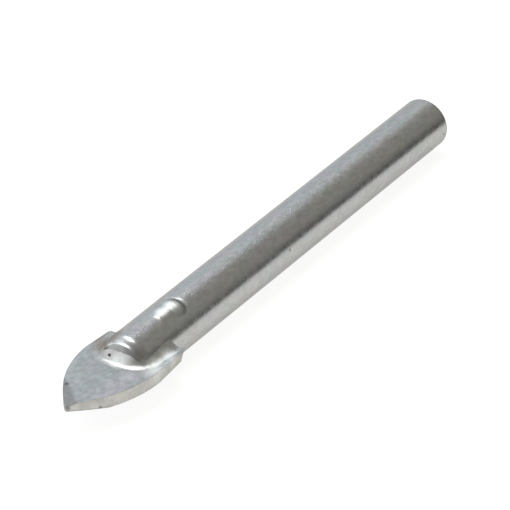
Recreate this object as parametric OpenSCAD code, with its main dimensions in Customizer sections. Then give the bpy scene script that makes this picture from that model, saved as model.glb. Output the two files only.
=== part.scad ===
// Glass and tile drill bit: a spear-point carbide plate brazed into the slotted end of a round shank.
// The bit lies along +X with its point forward. The origin is the centre of the shank's rear end face.
// The plate lies in the XY plane and the bit is held by its round shank.

/* [Shank] */
// Overall length from the rear end face to the point
overall_l = 95; // [80:1:120]
// Diameter of the plain round shank
shank_d = 8; // [7:0.1:9]
// Rounding of the rear edge
rear_break = 0.4; // [0.2:0.05:0.8]
// Length of the head, from the end of the plain shank to the nose's flat face
head_l = 16; // [14:0.5:20]
// Loss of radius along the head
head_taper = 0.03; // [0.02:0.01:0.08]
// Radius of the rounding of the nose
nose_round = 1.6; // [1.2:0.05:1.7]
// Angle that the rounding turns through before it meets the nose's flat face
nose_turn = 55; // [45:1:60]

/* [Carbide tip] */
// Width of the plate, which is the size of the hole
tip_w = 12; // [11:0.1:14]
// Thickness of the plate
tip_t = 1.9; // [1.6:0.1:2.4]
// Length of the plate from its shoulders to the point
tip_l = 19; // [17:0.5:22]
// Length of the curved sides that run up to the point
arc_l = 13.6; // [11:0.2:15]
// Chamfer on each corner of the shoulders
shoulder_chamfer = 0.35; // [0.1:0.05:0.6]
// Distance behind the point at which a point facet starts on the side
facet_back = 4.8; // [3:0.1:6]
// Angle between the bit's axis and the rear line of a point facet
facet_skew = 51; // [45:1:60]
// Slope of a point facet below the plate's face
facet_slope = 24; // [15:1:26]

/* [Slot and braze] */
// Length of the prongs that lie over the plate, from its shoulders to the nose's flat face
prong_l = 6; // [5:0.25:7]
// Braze film between the plate and the slot
braze_gap = 0.1; // [0.06:0.02:0.2]
// Reach of the braze fillet in front of the nose
fillet_front = 2.4; // [2:0.1:2.8]
// Reach of the braze fillet beside the shank
fillet_side = 1.6; // [1.4:0.1:1.7]
// Radius of the hollow of the braze fillet
fillet_r = 4.2; // [4:0.1:4.6]
// Angle at which the fillet runs out on the plate
fillet_toe = 8; // [6:1:10]
// Radius of the fillet's outer line where it turns round the nose
fillet_turn = 3.6; // [3.4:0.05:3.8]

/* [Raised run] */
// Radius across the raised run of metal on the upper side behind the slot
run_r = 1.5; // [1.3:0.05:1.8]
// Height of the run above the shank, at its rear end
run_h = 0.55; // [0.4:0.05:0.65]
// Angle at which the run sinks into the shank towards the front
run_fall = 6.5; // [6:0.5:9]
// Length of the run, measured on the shank's top
run_l = 6; // [5.5:0.1:7]
// Radius along the run's rounded rear end
run_end = 6.2; // [5.5:0.1:7]
// Distance from the shoulders back to the middle of the run
run_back = 4; // [3.5:0.1:5]
// Turn of the run round the shank from straight up
run_turn = 16; // [0:1:30]

/* [Hidden] */
$fn = 96;
shank_r = shank_d / 2;
head_r = shank_r - head_taper;
shoulder_x = overall_l - tip_l;
nose_x = shoulder_x + prong_l;
plain_l = nose_x - head_l;
slot_t = tip_t + 2 * braze_gap;
arc_r = (arc_l * arc_l + tip_w * tip_w / 4) / tip_w;
// Half-width of the plate where a point facet starts
facet_y = tip_w / 2 - arc_r + sqrt(arc_r * arc_r - pow(arc_l - facet_back, 2));
// Line round which the fillet turns at each corner of the nose
turn_x = nose_x + fillet_front - fillet_turn;
turn_y = shank_r + fillet_side - fillet_turn;
// Rear end of the fillet, clear of the shoulders' chamfers
fillet_x = shoulder_x + shoulder_chamfer;
// Height of the fillet's inner edge, which lies inside the prong
fillet_h = fillet_r * 0.48;
// Start of the rounding of the nose
round_x = nose_x - nose_round * sin(nose_turn);
// Length of the run's bar that the rounded rear end takes away
run_spare = 1;
eps = 0.01;

// Outline of the shank's half section, with the axis as the second coordinate
module shank_section() {
  translate([0, rear_break])
    square([shank_r, plain_l - rear_break]);
  square([shank_r - rear_break, plain_l]);
  translate([shank_r - rear_break, rear_break])
    circle(r = rear_break);
  polygon([
    [0, plain_l - eps],
    [shank_r, plain_l - eps],
    [shank_r, plain_l],
    [head_r, round_x],
    [0, round_x]
  ]);
  translate([0, round_x - eps])
    square([head_r - nose_round, nose_x - round_x + eps]);
  intersection() {
    translate([head_r - nose_round, round_x])
      circle(r = nose_round);
    translate([0, round_x])
      square([shank_r, nose_x - round_x]);
  }
}

// The turned rod before the slot is cut
module shank_blank() {
  rotate([0, 90, 0])
    rotate_extrude()
      intersection() {
        shank_section();
        square([shank_d, overall_l]);
      }
}

// The raised run: a round ridge that sinks into the shank, gently in front and steeply behind
module raised_run() {
  rotate([-run_turn, 0, 0])
    translate([shoulder_x - run_back, 0, shank_r])
      intersection() {
        translate([-run_l / 2, 0, run_h - run_r])
          rotate([0, 90 + run_fall, 0])
            translate([0, 0, -run_spare])
              cylinder(r = run_r, h = run_l + run_spare);
        translate([0, 0, -sqrt(run_end * run_end - run_l * run_l / 4)])
          sphere(r = run_end);
      }
}

// The slot across the head, from its floor out past the nose
module slot() {
  translate([shoulder_x - braze_gap, -shank_d, -slot_t / 2])
    cube([prong_l + braze_gap + 1, 2 * shank_d, slot_t]);
}

module shank() {
  color([0.72, 0.73, 0.73])
    difference() {
      union() {
        shank_blank();
        raised_run();
      }
      slot();
    }
}

// Pointed arch of the plate, with its square shoulders at the rear
module tip_outline() {
  difference() {
    union() {
      translate([shoulder_x, -tip_w / 2])
        square([tip_l - arc_l, tip_w]);
      intersection() {
        translate([overall_l - arc_l, tip_w / 2 - arc_r])
          circle(r = arc_r);
        translate([overall_l - arc_l, arc_r - tip_w / 2])
          circle(r = arc_r);
        translate([overall_l - arc_l - eps, -tip_w / 2])
          square([arc_l + 1, tip_w]);
      }
    }
    for (side = [-1, 1])
      translate([shoulder_x, side * tip_w / 2])
        rotate(45)
          square(shoulder_chamfer * sqrt(2), center = true);
  }
}

// The wedge that a point facet takes off the upper face and the -Y side
module point_facet() {
  translate([overall_l - facet_back, -facet_y, tip_t / 2])
    rotate([0, 0, facet_skew])
      rotate([facet_slope, 0, 0])
        translate([-tip_w, -2 * tip_w, 0])
          cube([3 * tip_w, 2 * tip_w, tip_t * 2]);
}

module carbide_tip() {
  color([0.66, 0.67, 0.68])
    difference() {
      translate([0, 0, -tip_t / 2])
        linear_extrude(height = tip_t)
          tip_outline();
      point_facet();
      rotate([180, 0, 0])
        point_facet();
    }
}

// Hollow section of the fillet, standing on the plate's middle plane
module fillet_section() {
  difference() {
    square([fillet_turn + fillet_r * sin(fillet_toe) / 2, tip_t / 2 + fillet_h]);
    translate([fillet_turn + fillet_r * sin(fillet_toe), tip_t / 2 + fillet_r * cos(fillet_toe)])
      circle(r = fillet_r);
  }
}

// The fillet on one face of the plate, before the prong and the plate are taken out of it
module fillet_half() {
  for (side = [0, 1])
    mirror([0, side, 0]) {
      translate([fillet_x, turn_y, 0])
        rotate([90, 0, 90])
          linear_extrude(height = turn_x - fillet_x)
            fillet_section();
      translate([turn_x, turn_y, 0])
        rotate_extrude(angle = 90)
          fillet_section();
    }
  translate([turn_x, turn_y, 0])
    rotate([90, 0, 0])
      linear_extrude(height = 2 * turn_y)
        fillet_section();
}

module braze_fillet() {
  color([0.80, 0.79, 0.76])
    difference() {
      union() {
        intersection() {
          shank_blank();
          slot();
        }
        fillet_half();
        mirror([0, 0, 1])
          fillet_half();
      }
      shank();
      carbide_tip();
    }
}

shank();
carbide_tip();
braze_fillet();
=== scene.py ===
import math
import bmesh
import bpy
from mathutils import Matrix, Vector, noise


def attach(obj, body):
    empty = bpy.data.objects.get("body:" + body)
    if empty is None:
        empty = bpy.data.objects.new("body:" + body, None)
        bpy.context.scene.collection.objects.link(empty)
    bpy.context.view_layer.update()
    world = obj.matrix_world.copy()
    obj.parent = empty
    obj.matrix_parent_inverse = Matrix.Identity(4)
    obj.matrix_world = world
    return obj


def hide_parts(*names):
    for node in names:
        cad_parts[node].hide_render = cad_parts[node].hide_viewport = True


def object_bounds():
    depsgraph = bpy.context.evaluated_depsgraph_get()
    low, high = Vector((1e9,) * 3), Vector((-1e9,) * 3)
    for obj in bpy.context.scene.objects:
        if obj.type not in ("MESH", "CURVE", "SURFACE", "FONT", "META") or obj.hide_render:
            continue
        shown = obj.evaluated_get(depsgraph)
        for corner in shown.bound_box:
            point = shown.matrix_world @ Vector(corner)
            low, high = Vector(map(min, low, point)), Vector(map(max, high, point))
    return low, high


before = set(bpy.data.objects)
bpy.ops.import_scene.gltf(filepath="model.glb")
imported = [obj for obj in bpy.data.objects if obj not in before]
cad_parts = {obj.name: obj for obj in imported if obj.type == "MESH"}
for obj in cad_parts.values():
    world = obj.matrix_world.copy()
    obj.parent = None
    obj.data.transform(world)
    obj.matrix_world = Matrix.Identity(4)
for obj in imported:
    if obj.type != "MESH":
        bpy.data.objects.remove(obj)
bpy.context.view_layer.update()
MM = 0.001
scene = bpy.context.scene
scene.view_settings.view_transform = "Standard"

# Sizes in millimetres. X runs along the axis from the rear end, and the plate lies in the XY plane
SHANK_R = 4.0
REAR_BREAK = 0.4
NOSE_R = 3.97
PLAIN_X = 66.0
TAPER_X = 81.2
SLOT_X = 75.9
NOSE_X = 82.0
TIP_X = 95.0
SLOT_H = 1.05
PLATE_H = 0.95
PLATE_W = 6.0
SHOULDER_X = 76.0
ARC_X = 81.4

# Nose: a rounding, a hollow ring given by its tilts in degrees, and a small round rim
NOSE_ROUND = 1.7
NOSE_ROUND_X = 80.35
NOSE_TURN = 44
RING_STEP = 0.036
RING_TILTS = (38, 31, 25, 21, 18, 16, 16, 17, 19, 22, 26)
RIM_ROUND = 0.1
RIM_DROP = 0.092

# Raised run: lengths are measured from its rear end, and its turn round the shank is in degrees
RUN_X = 69.0
RUN_L = 5.9
RUN_W = 1.6
RUN_H = 0.43
RUN_TURN = 18.5
RUN_SKEW = 0.6
RUN_REAR = 1.6
RUN_CREST = 1.5
RUN_FALL = 0.95
RUN_FRONT = 0.9
RUN_FLANK = 0.9
RUN_NARROWING = 0.35
RUN_CROWN = 1.25
RUN_ZONE = (68, 77)
TROUGH_BACK = 0.8
TROUGH_H = 0.055
TROUGH_AT = 1.16
TROUGH_W = 0.13

# Points round the shank: over the upper prong, under the lower one and in each side between them
UPPER_POINTS = 110
LOWER_POINTS = 70
SIDE_POINTS = 20


def smooth(a, b, v):
    """0 at a, 1 at b, with a soft start and end."""
    t = min(1.0, max(0.0, (v - a) / (b - a)))
    return t * t * (3 - 2 * t)


def spread(a, b, n):
    """Even steps from a up to, but not with, b."""
    return [a + (b - a) * i / n for i in range(n)]


def arc(cx, cr, rad, a0, a1, n):
    """Points (x, r) of an arc; angle 0 points away from the axis and 90 forward."""
    angles = [math.radians(a) for a in spread(a0, a1, n) + [a1]]
    return [(cx + rad * math.sin(a), cr + rad * math.cos(a)) for a in angles]


def add_mesh(name, verts, faces, node, sharp):
    """A dressed piece that stands for a node; edges over the sharp angle stay crisp."""
    mesh = bpy.data.meshes.new(name)
    mesh.from_pydata([Vector(v) * MM for v in verts], [], faces)
    mesh.validate()
    for p in mesh.polygons:
        p.use_smooth = True
    mesh.set_sharp_from_angle(angle=math.radians(sharp))
    obj = bpy.data.objects.new(name, mesh)
    scene.collection.objects.link(obj)
    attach(obj, "root")
    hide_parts(node)
    return obj


def add_box(verts, faces, corners, z0, z1):
    """A four-sided block between two heights."""
    b = len(verts)
    verts += [(x, y, z) for z in (z0, z1) for x, y in corners]
    faces += [(b, b + 3, b + 2, b + 1), (b + 4, b + 5, b + 6, b + 7)]
    faces += [(b + i, b + (i + 1) % 4, b + 4 + (i + 1) % 4, b + 4 + i) for i in range(4)]


def cone_r(x):
    """Radius of the shank, which tapers a little along the head."""
    if x <= PLAIN_X:
        return SHANK_R
    return SHANK_R - (SHANK_R - NOSE_R) * (x - PLAIN_X) / (TAPER_X - PLAIN_X)


def nose_profile():
    pts = arc(NOSE_ROUND_X, NOSE_R - NOSE_ROUND, NOSE_ROUND, 0, NOSE_TURN, 20)
    x, r = pts[-1]
    for tilt in RING_TILTS:
        x, r = x + RING_STEP, r - RING_STEP * math.tan(math.radians(tilt))
        pts.append((x, r))
    return pts + arc(NOSE_X - RIM_ROUND, r - RIM_DROP, RIM_ROUND, 30, 90, 7)


NOSE = nose_profile()


def prong_r(x):
    """Radius of the prongs, with the nose's profile."""
    for (x0, r0), (x1, r1) in zip(NOSE, NOSE[1:]):
        if x0 <= x <= x1:
            return r0 + (r1 - r0) * (x - x0) / max(1e-9, x1 - x0)
    return cone_r(x)


def run_height(x, th):
    """Height of the raised run: a crest that sinks forward, a rounded rear end and a trough behind it."""
    u = x - RUN_X
    w = math.radians(th - RUN_TURN + RUN_SKEW * u) * SHANK_R
    if u <= -TROUGH_BACK or u >= RUN_L:
        return 0.0
    flank = RUN_FLANK * smooth(0.0, -0.3, w)
    half = (RUN_W + flank) * (1 - RUN_NARROWING * smooth(RUN_CREST, RUN_L, u))
    crest = RUN_H * (1 - RUN_FALL * max(0.0, (u - RUN_CREST) / (RUN_L - RUN_CREST)))
    crest *= 1 - smooth(RUN_L - RUN_FRONT, RUN_L, u)
    near = (w / half) ** 2 + max(0.0, 1 - u / RUN_REAR) ** 2
    trough = TROUGH_H * math.exp(-((math.sqrt(near) - TROUGH_AT) / TROUGH_W) ** 2) * smooth(2.4, 1.0, u)
    return crest * max(0.0, 1 - near) ** RUN_CROWN - trough


# Shank: a turned rod with a rounded rear edge, two prongs with a soft nose, and the raised run
def build_shank():
    verts, faces = [], []

    def point(x, r, th):
        a = math.radians(th)
        if RUN_ZONE[0] < x < RUN_ZONE[1]:
            r += run_height(x, th if th <= 180 else th - 360)
        verts.append((x, r * math.sin(a), r * math.cos(a)))
        return len(verts) - 1

    cut = math.degrees(math.acos(SLOT_H / cone_r(SLOT_X)))
    upper = spread(-cut, cut, UPPER_POINTS)
    right = spread(cut, 180 - cut, SIDE_POINTS)
    lower = spread(180 - cut, 180 + cut, LOWER_POINTS)
    left = spread(180 + cut, 360 - cut, SIDE_POINTS)
    around = upper + right + lower + left
    n = len(around)

    rear = [(0.0, r) for r in (1.2, 2.4, 3.2, 3.5)]
    rear += arc(REAR_BREAK, SHANK_R - REAR_BREAK, REAR_BREAK, -90, 0, 10)
    along = spread(1.0, 67.0, 132) + spread(67.0, SLOT_X, 89) + [SLOT_X]
    stations = rear + [(x, cone_r(x)) for x in along]
    rings = [[point(x, r, th) for th in around] for x, r in stations]
    verts.append((0, 0, 0))
    hub = len(verts) - 1
    for i in range(n):
        faces.append((hub, rings[0][(i + 1) % n], rings[0][i]))
    for a, b in zip(rings, rings[1:]):
        for i in range(n):
            j = (i + 1) % n
            faces.append((a[i], a[j], b[j], b[i]))

    last = rings[-1]
    head = [(x, cone_r(x)) for x in spread(76.4, 80.0, 6)] + NOSE
    prongs = ((0, UPPER_POINTS, 0), (UPPER_POINTS + SIDE_POINTS, LOWER_POINTS, 180))
    for start, count, middle in prongs:
        rows = [[last[(start + i) % n] for i in range(count + 1)]]
        for x, r in head:
            c = math.degrees(math.acos(SLOT_H / r))
            angles = spread(middle - c, middle + c, count) + [middle + c]
            rows.append([point(x, r, th) for th in angles])
        for a, b in zip(rows, rows[1:]):
            for i in range(count):
                faces.append((a[i], a[i + 1], b[i + 1], b[i]))
        faces.append(tuple(rows[-1]))
        faces.append(tuple([row[0] for row in rows] + [row[-1] for row in reversed(rows)]))
    slot_right = last[UPPER_POINTS:UPPER_POINTS + SIDE_POINTS + 1]
    slot_left = last[-SIDE_POINTS:] + [last[0]]
    faces.append(tuple(slot_right + slot_left))
    return add_mesh("shank_body", verts, faces, "shank", 35)


# Plate: the ground spear point, with its edges broken and its shoulders uneven
ARC_R = ((TIP_X - ARC_X) ** 2 + PLATE_W ** 2) / (2 * PLATE_W)
FACET_X = TIP_X - 4.8
FACET_AT = (FACET_X, ARC_R - PLATE_W - math.sqrt(ARC_R ** 2 - (FACET_X - ARC_X) ** 2), PLATE_H)
FACET_SKEW = math.radians(51)
FACET_SLOPE = math.radians(24)
FACET_NORMAL = (math.sin(FACET_SKEW) * math.sin(FACET_SLOPE),
                -math.cos(FACET_SKEW) * math.sin(FACET_SLOPE),
                math.cos(FACET_SLOPE))
EAR_RIGHT = [(75.05, 5.55), (75.6, PLATE_W)]
EAR_LEFT = [(76.65, 5.25), (76.95, 5.6)]
REAR_LINE = [(76.72, -4.05), (SHOULDER_X + 0.06, -3.95), (SHOULDER_X, -3.7),
             (SHOULDER_X, 3.7), (SHOULDER_X - 0.03, 3.97), (75.05, 4.0)]
EDGE_BREAK = 0.09


def left_w(x):
    """Half-width on the left side, which narrows a little towards its shoulder."""
    return 5.6 + 0.08 * (x - 76.9)


def undercut(x):
    """Loss of half-width at the lower edge of the right side, which grows towards its shoulder."""
    return 0.5 * smooth(ARC_X, 75.6, x)


def facet_planes():
    """A point and the normal of the upper facet and of the lower one, half a turn away."""
    for s in (1, -1):
        at = (FACET_AT[0], s * FACET_AT[1], s * FACET_AT[2])
        normal = (FACET_NORMAL[0], s * FACET_NORMAL[1], s * FACET_NORMAL[2])
        yield at, normal


def plate_outline():
    right = list(EAR_RIGHT)
    left = EAR_LEFT + [(x, left_w(x)) for x in (78.5, 80.0)]
    for x in spread(ARC_X, TIP_X, 64):
        y = PLATE_W - ARC_R + math.sqrt(ARC_R * ARC_R - (x - ARC_X) ** 2)
        right.append((x, y))
        left.append((x, min(y, left_w(x))))
    return right + [(TIP_X, 0.0)] + [(x, -y) for x, y in reversed(left)] + REAR_LINE


def build_plate():
    outline = plate_outline()
    n = len(outline)
    bm = bmesh.new()
    top = [bm.verts.new((x, y, PLATE_H)) for x, y in outline]
    low = [bm.verts.new((x, y - undercut(x) if y > 4.5 else y, -PLATE_H)) for x, y in outline]
    bm.faces.new(list(reversed(top)))
    bm.faces.new(low)
    for i in range(n):
        j = (i + 1) % n
        bm.faces.new((top[i], top[j], low[j], low[i]))
    bmesh.ops.recalc_face_normals(bm, faces=bm.faces)
    for at, normal in facet_planes():
        everything = bm.verts[:] + bm.edges[:] + bm.faces[:]
        bmesh.ops.bisect_plane(bm, geom=everything, dist=1e-6, plane_co=at, plane_no=normal, clear_outer=True)
        bmesh.ops.edgeloop_fill(bm, edges=[e for e in bm.edges if e.is_boundary])
    bmesh.ops.recalc_face_normals(bm, faces=bm.faces)
    bm.verts.index_update()
    verts = [v.co[:] for v in bm.verts]
    faces = [tuple(v.index for v in f.verts) for f in bm.faces]
    bm.free()
    obj = add_mesh("tip_plate", verts, faces, "carbide_tip", 180)
    edges = obj.modifiers.new("edges", "BEVEL")
    edges.width = EDGE_BREAK * MM
    edges.segments = 3
    edges.limit_method = "ANGLE"
    edges.angle_limit = math.radians(16)
    obj.modifiers.new("faces", "WEIGHTED_NORMAL").weight = 100
    bpy.context.view_layer.update()
    shaped = obj.evaluated_get(bpy.context.evaluated_depsgraph_get())
    flat = bpy.data.meshes.new_from_object(shaped)
    obj.modifiers.clear()
    obj.data = flat
    return obj


# Braze: the hollow fillet round the foot of each prong, with one pit, and the film in the slot
FILLET_W = 3.40
FILLET_X = 81.9
FILLET_TURN = 2.2
FILLET_START_RIGHT = 75.25
FILLET_START_LEFT = 76.9
FILLET_ROWS = 30
FILLET_SINK = 0.012
FILLET_EDGE = 0.12
FILLET_BEND = 0.60
FILLET_SOFT = 0.085
PIT = (82.66, -1.51)
PIT_DEPTH = 0.30
PIT_R = 0.15
PIT_RIM = 0.05
PIT_RIM_R = 0.26
PIT_RIM_W = 0.10
FILM_SIDES = ((SLOT_X, -3.78), (81.6, -3.4), (81.6, 3.4), (SLOT_X, 3.78))
FILM_FLOOR = ((75.89, -3.8), (76.02, -3.8), (76.02, 3.8), (75.89, 3.8))


def ramped(q):
    """Height from 0 to 1 along a fillet that is flat up to a soft bend and then rises evenly."""
    full = math.log1p(math.exp((1 - FILLET_BEND) / FILLET_SOFT))
    return math.log1p(math.exp((q - FILLET_BEND) / FILLET_SOFT)) / full


def fillet_path():
    """The fillet's inner line from the right side to the left, as x, y and the way it faces."""
    turn_x, turn_y = FILLET_X - FILLET_TURN, FILLET_W - FILLET_TURN
    path = [(x, FILLET_W, 0.0, 1.0) for x in spread(FILLET_START_RIGHT, turn_x, 52)]
    for a in spread(0, 90, 24):
        nx, ny = math.sin(math.radians(a)), math.cos(math.radians(a))
        path.append((turn_x + FILLET_TURN * nx, turn_y + FILLET_TURN * ny, nx, ny))
    path += [(FILLET_X, y, 1.0, 0.0) for y in spread(turn_y, 0, 20)]
    left = [(x, -y, nx, -ny) for x, y, nx, ny in reversed(path) if x > FILLET_START_LEFT]
    return path + [(FILLET_X, 0.0, 1.0, 0.0)] + left


def pit_height(x, y):
    d = math.hypot(x - PIT[0], y - PIT[1])
    rim = PIT_RIM * math.exp(-((d - PIT_RIM_R) / PIT_RIM_W) ** 2)
    return rim - PIT_DEPTH * math.exp(-(d / PIT_R) ** 2)


def fillet_line(x, y, nx, ny, s):
    """Points of the fillet from its outer edge up to the prong, on the upper (1) or lower (-1) face."""
    fore = smooth(0.0, 1.0, nx)
    aft = 1 - smooth(76.1, 81.0, x)
    reach = 2.15 + 1.25 * fore + 0.25 * aft - 0.12 * abs(y) * fore
    reach += 0.10 * noise.noise(Vector((x * 0.7, y * 0.7, 3.1 * s)))
    high = 0.95 + 0.32 * fore + 0.13 * aft + 0.05 * noise.noise(Vector((x * 0.5, y * 0.5, 8.7 * s)))
    high = min(high, math.sqrt(prong_r(x) ** 2 - y * y) - PLATE_H - 0.02)
    power = 3.2 + 0.3 * fore - 0.8 * aft
    line = []
    for r in range(FILLET_ROWS + 1):
        q = r / FILLET_ROWS
        px, py = x + nx * reach * (1 - q), y + ny * reach * (1 - q)
        right = PLATE_W - FILLET_EDGE - (0 if s > 0 else undercut(px))
        py = max(FILLET_EDGE - left_w(px), min(right, py))
        h = high * ((1 - fore) * q ** power + fore * ramped(q))
        h += 0.02 * math.sin(math.pi * q) * noise.noise(Vector((px * 1.3, py * 1.3, 1.7 * s)))
        if s > 0:
            h += pit_height(px, py)
        line.append((px, py, s * (PLATE_H - FILLET_SINK + h)))
    return line


def build_braze():
    verts, faces = [], []
    path = fillet_path()
    for s in (1, -1):
        grid = []
        for place in path:
            first = len(verts)
            verts += fillet_line(*place, s)
            grid.append(list(range(first, len(verts))))
        for a, b in zip(grid, grid[1:]):
            for r in range(FILLET_ROWS):
                quad = (a[r], a[r + 1], b[r + 1], b[r])
                faces.append(quad if s < 0 else tuple(reversed(quad)))
        for line, end in ((grid[0], s), (grid[-1], -s)):
            x, y = verts[line[-1]][:2]
            verts.append((x, y, s * (PLATE_H - FILLET_SINK)))
            cap = line + [len(verts) - 1]
            faces.append(tuple(cap) if end > 0 else tuple(reversed(cap)))
    add_box(verts, faces, FILM_SIDES, PLATE_H - 0.01, SLOT_H)
    add_box(verts, faces, FILM_SIDES, -SLOT_H, -PLATE_H + 0.01)
    add_box(verts, faces, FILM_FLOOR, -1.0, 1.0)
    return add_mesh("braze_metal", verts, faces, "braze_fillet", 60)


# Helpers for shader nodes
def tree_of(name):
    m = bpy.data.materials.new(name)
    m.use_nodes = True
    m.node_tree.nodes.clear()
    return m, m.node_tree


def make(t, kind, **sets):
    n = t.nodes.new(kind)
    for k, v in sets.items():
        setattr(n, k, v)
    return n


def wire(t, a, b):
    t.links.new(a, b)


def ramp(t, value, lo, hi, a, b, kind="LINEAR"):
    n = make(t, "ShaderNodeMapRange", interpolation_type=kind)
    for k, v in (("From Min", lo), ("From Max", hi), ("To Min", a), ("To Max", b)):
        n.inputs[k].default_value = v
    wire(t, value, n.inputs["Value"])
    return n.outputs["Result"]


def mixed(t, factor, a, b):
    """Colour a where the factor is 0 and b where it is 1; each is a colour or a socket."""
    n = make(t, "ShaderNodeMix", data_type="RGBA")
    wire(t, factor, n.inputs["Factor"])
    for v, s in ((a, n.inputs[6]), (b, n.inputs[7])):
        if isinstance(v, tuple):
            s.default_value = (*v, 1)
        else:
            wire(t, v, s)
    return n.outputs[2]


def noise_of(t, co, scale, detail=2.0, rough=0.5):
    n = make(t, "ShaderNodeTexNoise")
    n.inputs["Scale"].default_value = scale
    n.inputs["Detail"].default_value = detail
    n.inputs["Roughness"].default_value = rough
    wire(t, co, n.inputs["Vector"])
    return n.outputs["Fac"]


def calc(t, op, a, b=None, c=None):
    n = make(t, "ShaderNodeMath", operation=op)
    for i, v in enumerate((a, b, c)):
        if isinstance(v, (int, float)):
            n.inputs[i].default_value = v
        elif v is not None:
            wire(t, v, n.inputs[i])
    return n.outputs[0]


def vector_calc(t, op, a, b):
    n = make(t, "ShaderNodeVectorMath", operation=op)
    wire(t, a, n.inputs[0])
    n.inputs[1].default_value = b
    return n


def parts_of(t, vector):
    n = make(t, "ShaderNodeSeparateXYZ")
    wire(t, vector, n.inputs[0])
    return n.outputs


def near_to(t, co, centre, inner, outer):
    """1 within the inner radius of a point, 0 beyond the outer one."""
    away = vector_calc(t, "DISTANCE", co, centre).outputs["Value"]
    return ramp(t, away, inner, outer, 1, 0)


def scaled(t, tc, stretch):
    """Object coordinates in millimetres, with X stretched."""
    n = make(t, "ShaderNodeMapping")
    n.inputs["Scale"].default_value = (stretch / MM, 1 / MM, 1 / MM)
    wire(t, tc.outputs["Object"], n.inputs["Vector"])
    return n.outputs[0]


# Colours of the plating, of the marks on it, and of the painted highlights and painted shade laid on it
LILAC = (0.445, 0.42, 0.46)
GREEN = (0.40, 0.44, 0.42)
BLOOM = (0.52, 0.54, 0.555)
DULL = (0.325, 0.33, 0.33)
SPECK = (0.20, 0.20, 0.19)
DARK = (0.06, 0.058, 0.055)
BROWN = (0.265, 0.24, 0.215)
# Painted highlight: a near-white colour laid where the metal should look lit
PAINTED_HIGHLIGHT = (0.78, 0.81, 0.80)
# Painted glow: a light bluish sheen laid on the blade
PAINTED_GLOW = (0.56, 0.555, 0.62)
NOSE_BROWN = (0.24, 0.225, 0.195)
# Painted shade: the dark reflection on the nose's right side
NOSE_PAINTED_SHADE = (0.22, 0.215, 0.205)
# Painted shade: a darker band as in a crease, with a little more roughness
NOSE_LEFT_PAINTED_SHADE = (0.29, 0.28, 0.265)
# Painted shade: darkening for the corner between prong and fillet
CORNER_PAINTED_SHADE = (0.2, 0.2, 0.19)
RIM_BROWN = (0.25, 0.20, 0.165)
EDGE_LINE = (0.17, 0.16, 0.15)
GROUND_DARK = (0.37, 0.365, 0.35)
GROUND_PALE = (0.50, 0.495, 0.475)
FACET_GREY = (0.215, 0.213, 0.21)
EDGE_TINT = (0.62, 0.62, 0.62, 1)
PATCHY_FROM = 0.5


def plated_colour(t, co, run, clouds, cool, warm, cloudy):
    """Cool and warm metal with faint tints, cloudy bloom, dull patches and dark specks."""
    tint, hue = noise_of(t, run, 0.25, 2), noise_of(t, run, 0.5, 2)
    base = mixed(t, ramp(t, tint, 0.38, 0.62, 0, 1), cool, warm)
    base = mixed(t, ramp(t, hue, 0.52, 0.66, 0, 0.6), base, LILAC)
    base = mixed(t, ramp(t, hue, 0.47, 0.34, 0, 0.5), base, GREEN)
    base = mixed(t, ramp(t, clouds, 0.46, 0.74, 0, cloudy), base, BLOOM)
    base = mixed(t, ramp(t, clouds, 0.52, 0.26, 0, cloudy), base, DULL)
    return mixed(t, ramp(t, noise_of(t, co, 3.1, 1), 0.70, 0.78, 0, 0.6 * cloudy), base, SPECK)


def plated_relief(t, co, fine, cloudy):
    """Fine grain and small pimples, mostly on the upper side, over a faint wave."""
    cells = make(t, "ShaderNodeTexVoronoi", feature="F1")
    cells.inputs["Scale"].default_value = 1.7
    wire(t, co, cells.inputs["Vector"])
    pick = make(t, "ShaderNodeSeparateColor")
    wire(t, cells.outputs["Color"], pick.inputs[0])
    dome = ramp(t, cells.outputs["Distance"], 0.30, 0.0, 0, 1)
    pimple = calc(t, "MULTIPLY", dome, ramp(t, pick.outputs[0], 0.55, 0.78, 0, 1))
    upper = ramp(t, parts_of(t, co)["Z"], 3.3, 3.8, 0.15, 1)
    grain = calc(t, "MULTIPLY_ADD", fine, 0.044 * cloudy, calc(t, "MULTIPLY", pimple, 0.068 * cloudy))
    height = calc(t, "MULTIPLY", upper, grain)
    height = calc(t, "MULTIPLY_ADD", noise_of(t, co, 1.1, 2), 0.004 + 0.006 * cloudy, height)
    relief = make(t, "ShaderNodeBump")
    relief.inputs["Strength"].default_value = 1
    relief.inputs["Distance"].default_value = MM
    wire(t, height, relief.inputs["Height"])
    return relief.outputs[0]


def zinc(name, cool, warm, rough, stretch, cloudy, marks_and_painted_light):
    """Bright plated metal with its marks and its painted highlights and shade, measured in millimetres."""
    m, t = tree_of(name)
    out = make(t, "ShaderNodeOutputMaterial")
    bsdf = make(t, "ShaderNodeBsdfPrincipled")
    bsdf.inputs["Metallic"].default_value = 1
    bsdf.inputs["Specular Tint"].default_value = EDGE_TINT
    wire(t, bsdf.outputs[0], out.inputs[0])
    tc = make(t, "ShaderNodeTexCoord")
    co, run = scaled(t, tc, 1), scaled(t, tc, stretch)
    clouds, fine = noise_of(t, run, 1.3, 3, 0.55), noise_of(t, co, 2.4, 3, 0.6)
    base = plated_colour(t, co, run, clouds, cool, warm, cloudy)
    cloud_rough = ramp(t, clouds, 0.3, 0.7, rough - 0.02, rough + 0.04)
    roughness = calc(t, "ADD", cloud_rough, ramp(t, fine, 0.3, 0.7, -0.03, 0.03))
    for mark_and_painted_light in marks_and_painted_light:
        base, roughness = mark_and_painted_light(t, co, base, roughness)
    wire(t, base, bsdf.inputs["Base Color"])
    wire(t, roughness, bsdf.inputs["Roughness"])
    wire(t, plated_relief(t, co, fine, cloudy), bsdf.inputs["Normal"])
    return m


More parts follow.
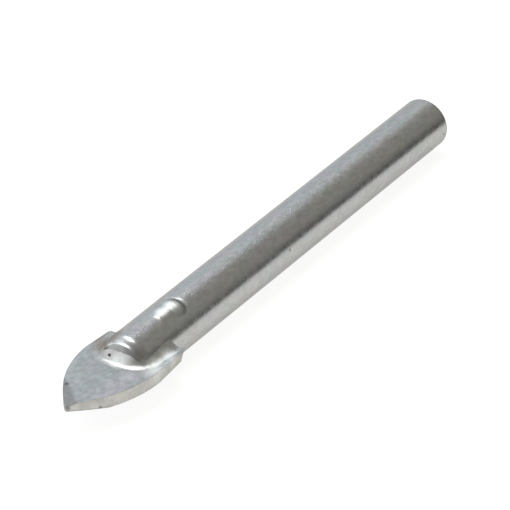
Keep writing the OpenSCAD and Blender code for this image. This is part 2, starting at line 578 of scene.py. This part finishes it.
def stain_and_painted_light(centre, inner, outer, colour, strength):
    """A round patch of colour that fades out between two radii; a large one is patchy. It lays real stains
    and also painted highlights and painted shade.
    """
    def mark_and_painted_light(t, co, base, roughness):
        f = calc(t, "MULTIPLY", near_to(t, co, centre, inner, outer), strength)
        if outer > PATCHY_FROM:
            f = calc(t, "MULTIPLY", f, ramp(t, noise_of(t, co, 2.2, 4, 0.65), 0.32, 0.62, 0.55, 1))
        return mixed(t, f, base, colour), calc(t, "MULTIPLY_ADD", f, 0.2, roughness)
    return mark_and_painted_light


def ground_edge(t, co, base, roughness):
    """The sides of the plate are ground bright, with a dark line along the edge."""
    shape = make(t, "ShaderNodeNewGeometry")
    flat = calc(t, "ABSOLUTE", parts_of(t, shape.outputs["Normal"])["Z"])
    f = ramp(t, flat, 0.45, 0.25, 0, 0.9)
    line = calc(t, "MULTIPLY", ramp(t, flat, 0.88, 0.80, 0, 0.8), ramp(t, flat, 0.25, 0.45, 0, 1))
    base = mixed(t, line, base, EDGE_LINE)
    coarse = ramp(t, noise_of(t, co, 0.8, 4, 0.7), 0.35, 0.65, 0, 1)
    side = mixed(t, coarse, GROUND_DARK, GROUND_PALE)
    return mixed(t, f, base, side), calc(t, "MULTIPLY_ADD", f, 0.08, roughness)


def point_facets(t, co, base, roughness):
    """The ground facets at the point are duller than the plated face."""
    for at, normal in facet_planes():
        offset = vector_calc(t, "SUBTRACT", co, at).outputs[0]
        above = vector_calc(t, "DOT_PRODUCT", offset, normal).outputs["Value"]
        f = ramp(t, above, -0.20, -0.01, 0, 0.7)
        f = calc(t, "MULTIPLY", f, ramp(t, noise_of(t, co, 2.6, 3, 0.6), 0.35, 0.65, 0.75, 1.15))
        base = mixed(t, f, base, FACET_GREY)
        roughness = calc(t, "MULTIPLY_ADD", f, 0.08, roughness)
    return base, roughness


def rear_rim(t, co, base, roughness):
    """A thin brown stain at the rear edge."""
    place = parts_of(t, co)
    out = vector_calc(t, "MULTIPLY", co, (0, 1, 1)).outputs[0]
    radius = vector_calc(t, "LENGTH", out, (0, 0, 0)).outputs["Value"]
    f = calc(t, "MULTIPLY", ramp(t, place["X"], 0.60, 0.20, 0, 0.75), ramp(t, radius, 3.4, 3.75, 0, 1))
    return mixed(t, f, base, RIM_BROWN), calc(t, "MULTIPLY_ADD", f, 0.1, roughness)


def shank_look():
    marks_and_painted_light = [
        rear_rim,
        stain_and_painted_light((1.16, 3.99, -0.32), 0.10, 0.28, DARK, 0.7),
        stain_and_painted_light((45.08, 3.86, 1.03), 0.10, 0.30, DARK, 0.5),
        stain_and_painted_light((80.6, -2.9, 2.5), 1.3, 2.5, NOSE_BROWN, 1.0),
        # Painted shade: the nose's right side darkened as if reflecting the dark room
        stain_and_painted_light((81.4, 2.6, 2.4), 0.5, 1.6, NOSE_PAINTED_SHADE, 0.75),
        # Painted shade: a darker band left of the nose's top highlight
        stain_and_painted_light((80.9, -1.6, 3.4), 0.3, 1.2, NOSE_LEFT_PAINTED_SHADE, 0.6),
        # Painted highlights: the nose's end face lightened to look lit
        stain_and_painted_light((82.1, -0.3, 2.55), 0.7, 1.4, PAINTED_HIGHLIGHT, 0.95),
        stain_and_painted_light((82.1, -1.7, 2.4), 0.4, 0.9, PAINTED_HIGHLIGHT, 0.95),
        # Painted highlight: the white stripe along the raised run's crest
        stain_and_painted_light((71.0, 0.85, 4.3), 0.6, 1.5, PAINTED_HIGHLIGHT, 1.0),
        stain_and_painted_light((73.0, 0.5, 4.2), 0.5, 1.3, PAINTED_HIGHLIGHT, 0.9),
    ]
    return zinc("zinc_shank", (0.42, 0.433, 0.442), (0.435, 0.433, 0.423), 0.27, 0.6, 0.45, marks_and_painted_light)


def plate_look():
    marks_and_painted_light = [
        ground_edge,
        point_facets,
        stain_and_painted_light((90.94, -2.71, 0.93), 0.10, 0.45, DARK, 0.75),
        stain_and_painted_light((91.38, 3.07, -0.55), 0.08, 0.34, DARK, 0.6),
        stain_and_painted_light((94.8, 0.2, 0.15), 0.10, 0.48, DARK, 0.6),
        stain_and_painted_light((79.0, -5.2, 0.95), 1.0, 3.2, BROWN, 1.0),
        # Painted highlight: the bright band along the right side near the shoulder
        stain_and_painted_light((81.6, 5.0, 0.95), 0.5, 2.6, PAINTED_HIGHLIGHT, 0.85),
        stain_and_painted_light((78.2, 5.7, 0.95), 0.2, 1.6, PAINTED_HIGHLIGHT, 0.6),
        # Painted glow: the soft bright zone beside the fillet's bright line
        stain_and_painted_light((84.5, 3.2, 0.95), 0.4, 2.0, PAINTED_GLOW, 0.6),
    ]
    return zinc("zinc_plate", (0.350, 0.37, 0.382), (0.368, 0.376, 0.374), 0.29, 0.7, 0.50, marks_and_painted_light)


def braze_look():
    marks_and_painted_light = [
        stain_and_painted_light((80.6, -4.2, 1.3), 1.0, 2.6, BROWN, 1.0),
        # Painted shade: the pit darkened inside its hollow
        stain_and_painted_light((*PIT, 1.5), 0.20, 0.30, DARK, 0.95),
        # Painted highlights: the bright band on the fillet's right side
        stain_and_painted_light((80.4, 5.1, 1.0), 0.8, 2.0, PAINTED_HIGHLIGHT, 1.0),
        stain_and_painted_light((77.9, 5.2, 1.0), 0.7, 1.9, PAINTED_HIGHLIGHT, 1.0),
        # Painted shade: the dark pocket where the prong meets the fillet
        stain_and_painted_light((81.7, 3.0, 1.8), 0.2, 1.0, CORNER_PAINTED_SHADE, 0.6),
        # Painted highlight: the light zone in front of the nose
        stain_and_painted_light((83.1, 0.2, 1.5), 0.6, 1.6, PAINTED_HIGHLIGHT, 0.6),
    ]
    return zinc("zinc_braze", (0.42, 0.425, 0.425), (0.43, 0.42, 0.405), 0.29, 1.0, 0.45, marks_and_painted_light)


for build, look in ((build_shank, shank_look), (build_plate, plate_look), (build_braze, braze_look)):
    piece = build()
    piece.data.materials.clear()
    piece.data.materials.append(look())

# Camera at the photo's viewing angle
CAMERA_AT = (399.465, 226.191, 251.002)
CAMERA_AZIMUTH = math.radians(122.7903)
CAMERA_HEIGHT = math.radians(30.9452)
CAMERA_LENS = 239.78
back = Vector((math.sin(CAMERA_AZIMUTH) * math.cos(CAMERA_HEIGHT),
               -math.cos(CAMERA_AZIMUTH) * math.cos(CAMERA_HEIGHT),
               math.sin(CAMERA_HEIGHT)))
cam = bpy.data.objects.new("camera", bpy.data.cameras.new("camera"))
scene.collection.objects.link(cam)
cam.location = Vector(CAMERA_AT) * MM
cam.rotation_mode = "QUATERNION"
cam.rotation_quaternion = (-back).to_track_quat("-Z", "Y")
cam.data.sensor_width = 36
cam.data.lens = CAMERA_LENS
cam.data.clip_start = 0.01
cam.data.clip_end = 20
scene.camera = cam

# Stage sizes in metres
FLOOR_HALF = 3.0
FLOOR_GREY = (0.27, 0.27, 0.27, 1)
FLOOR_GLOW = 0.86
FLOOR_WHITE = (1, 1, 1)
FLOOR_MIRRORED = (1, 0.985, 0.94)
FLAG_AWAY = 0.068
FLAG_HALF = 0.2
FLAG_TALL = 0.012
FLAG_GREY = (0.18, 0.178, 0.17, 1)
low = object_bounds()[0].z


def add_sheet(name, corners, material):
    mesh = bpy.data.meshes.new(name)
    mesh.from_pydata(corners, [], [(0, 1, 2, 3)])
    obj = bpy.data.objects.new(name, mesh)
    scene.collection.objects.link(obj)
    obj.data.materials.append(material)
    return obj


def diffuse_of(t, colour):
    n = make(t, "ShaderNodeBsdfDiffuse")
    n.inputs["Color"].default_value = colour
    return n.outputs[0]


def floor_look():
    """A pale table that keeps the shadow and is white to the camera and in reflections."""
    m, t = tree_of("floor_white")
    out = make(t, "ShaderNodeOutputMaterial")
    glow = make(t, "ShaderNodeEmission")
    path = make(t, "ShaderNodeLightPath").outputs
    both = make(t, "ShaderNodeAddShader")
    mirrored = calc(t, "MAXIMUM", path["Is Glossy Ray"], path["Is Transmission Ray"])
    wire(t, calc(t, "MULTIPLY_ADD", path["Is Camera Ray"], FLOOR_GLOW, mirrored), glow.inputs["Strength"])
    wire(t, mixed(t, path["Is Glossy Ray"], FLOOR_WHITE, FLOOR_MIRRORED), glow.inputs["Color"])
    wire(t, diffuse_of(t, FLOOR_GREY), both.inputs[0])
    wire(t, glow.outputs[0], both.inputs[1])
    wire(t, both.outputs[0], out.inputs[0])
    return m


def flag_look():
    m, t = tree_of("flag_dark")
    out = make(t, "ShaderNodeOutputMaterial")
    wire(t, diffuse_of(t, FLAG_GREY), out.inputs[0])
    return m


h = FLOOR_HALF
floor = add_sheet("floor", [(-h, -h, low), (h, -h, low), (h, h, low), (-h, h, low)], floor_look())

# A low dark flag stands beside the part, to the right of the picture
along = -Vector((back.x, back.y, 0)).normalized()
across = Vector((along.y, -along.x, 0))
foot = Vector((TIP_X / 2 * MM, 0, low)) + across * FLAG_AWAY
near_end, far_end, up = foot - along * FLAG_HALF, foot + along * FLAG_HALF, Vector((0, 0, FLAG_TALL))
flag = add_sheet("flag", [near_end, far_end, far_end + up, near_end + up], flag_look())
flag.visible_camera = False

# Studio surround: pale on the left, a dim room on the right
SOFT = "SMOOTHSTEP"
DIM_LOW, DIM_HIGH = (0.15, 0.147, 0.137), (0.435, 0.42, 0.38)
PALE_BACK, PALE_NEAR = (0.985, 1.045, 1.09), (1.45, 1.45, 1.45)
world = bpy.data.worlds.new("studio")
scene.world = world
world.use_nodes = True
tree = world.node_tree
tree.nodes.clear()
world_out = make(tree, "ShaderNodeOutputWorld")
sky = make(tree, "ShaderNodeBackground")
way = parts_of(tree, make(tree, "ShaderNodeTexCoord").outputs["Generated"])
low_down = ramp(tree, way["Z"], 0.40, 0.0, 0, 1, SOFT)
far_back = ramp(tree, way["X"], -0.70, -0.92, 0, 0.6, SOFT)
turned = calc(tree, "MULTIPLY_ADD", low_down, far_back, way["Y"])
side = ramp(tree, turned, 0.20, -0.70, 0, 1, SOFT)
dim = mixed(tree, ramp(tree, way["Z"], 0, 0.40, 0, 1, SOFT), DIM_LOW, DIM_HIGH)
pale = mixed(tree, ramp(tree, way["X"], -0.15, 0.35, 0, 1, SOFT), PALE_BACK, PALE_NEAR)
wire(tree, mixed(tree, side, dim, pale), sky.inputs["Color"])
wire(tree, sky.outputs[0], world_out.inputs[0])

LAMP_AIM = Vector((0.075, 0, 0))


def softbox(name, way_to, wide, tall, radiance):
    """A rectangular lamp one metre from the part, as bright as its radiance."""
    lamp = bpy.data.lights.new(name, "AREA")
    lamp.shape = "RECTANGLE"
    lamp.size = wide
    lamp.size_y = tall
    lamp.energy = radiance * math.pi * lamp.size * lamp.size_y
    obj = bpy.data.objects.new(name, lamp)
    scene.collection.objects.link(obj)
    d = Vector(way_to).normalized()
    obj.location = LAMP_AIM + d
    obj.rotation_mode = "QUATERNION"
    obj.rotation_quaternion = (-d).to_track_quat("-Z", "Y")


softbox("overhead", (-0.235, -0.24, 0.94), 0.52, 0.72, 3.0)
softbox("rear", (-0.89, -0.2, 0.41), 0.30, 0.20, 0.5)
